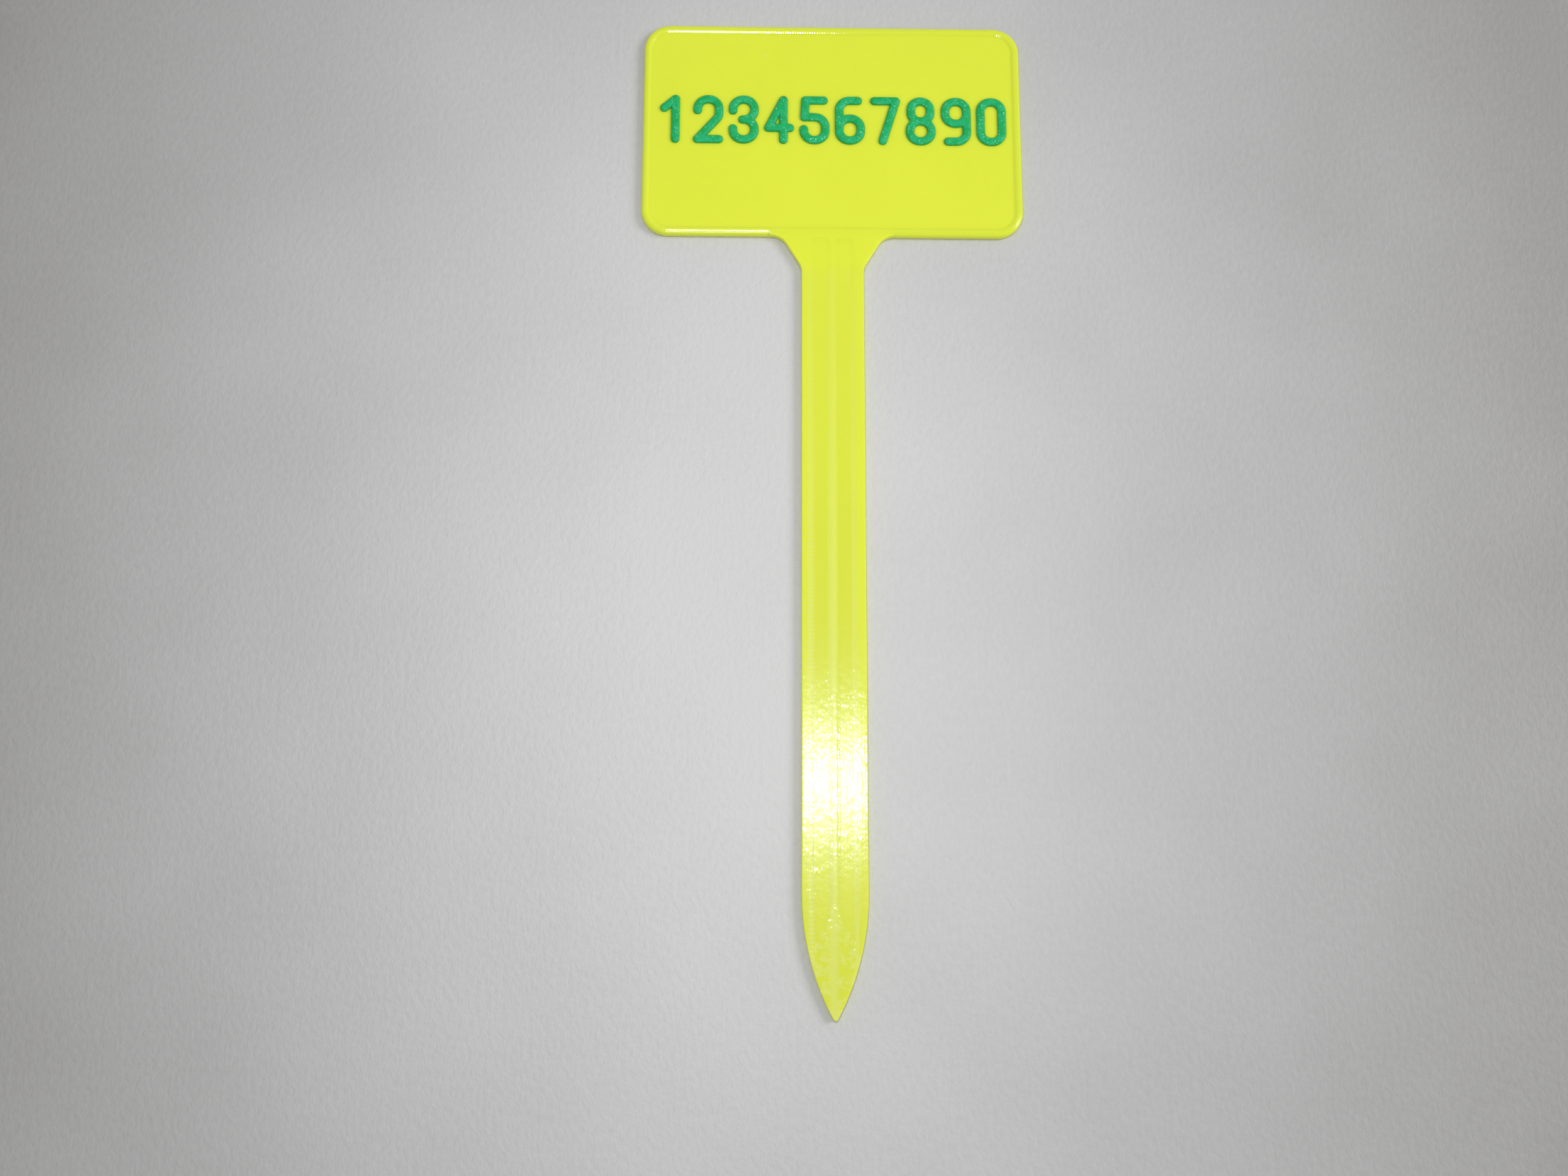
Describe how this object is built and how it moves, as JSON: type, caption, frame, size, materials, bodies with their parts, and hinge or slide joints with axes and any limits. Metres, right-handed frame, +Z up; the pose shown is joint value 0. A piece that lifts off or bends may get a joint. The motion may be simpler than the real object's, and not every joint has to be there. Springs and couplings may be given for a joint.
{
  "type": "plant label stake",
  "caption": "Flat plastic plant label stake: rimmed rectangular name plate with raised figures, flared neck, fluted stem and ogive point for pushing into soil.",
  "frame": {"origin": "middle of the footprint of the stake lying on its back, on the surface that it lies on", "axes": "+X across the plate to the reader's right, +Y along the stem from the point to the plate, +Z up out of the face that carries the figures"},
  "size_m": [0.06, 0.155, 0.0014],
  "materials": {
    "yellow_plastic": "satin printed plastic with fine diagonal print lines",
    "green_plastic": "satin printed plastic with fine glitter"
  },
  "bodies": {
    "root": {"stake_body": "yellow_plastic", "digit_1": "green_plastic", "digit_2": "green_plastic", "digit_3": "green_plastic", "digit_4": "green_plastic", "digit_5": "green_plastic", "digit_6": "green_plastic", "digit_7": "green_plastic", "digit_8": "green_plastic", "digit_9": "green_plastic", "digit_0": "green_plastic"}
  },
  "joints": []
}
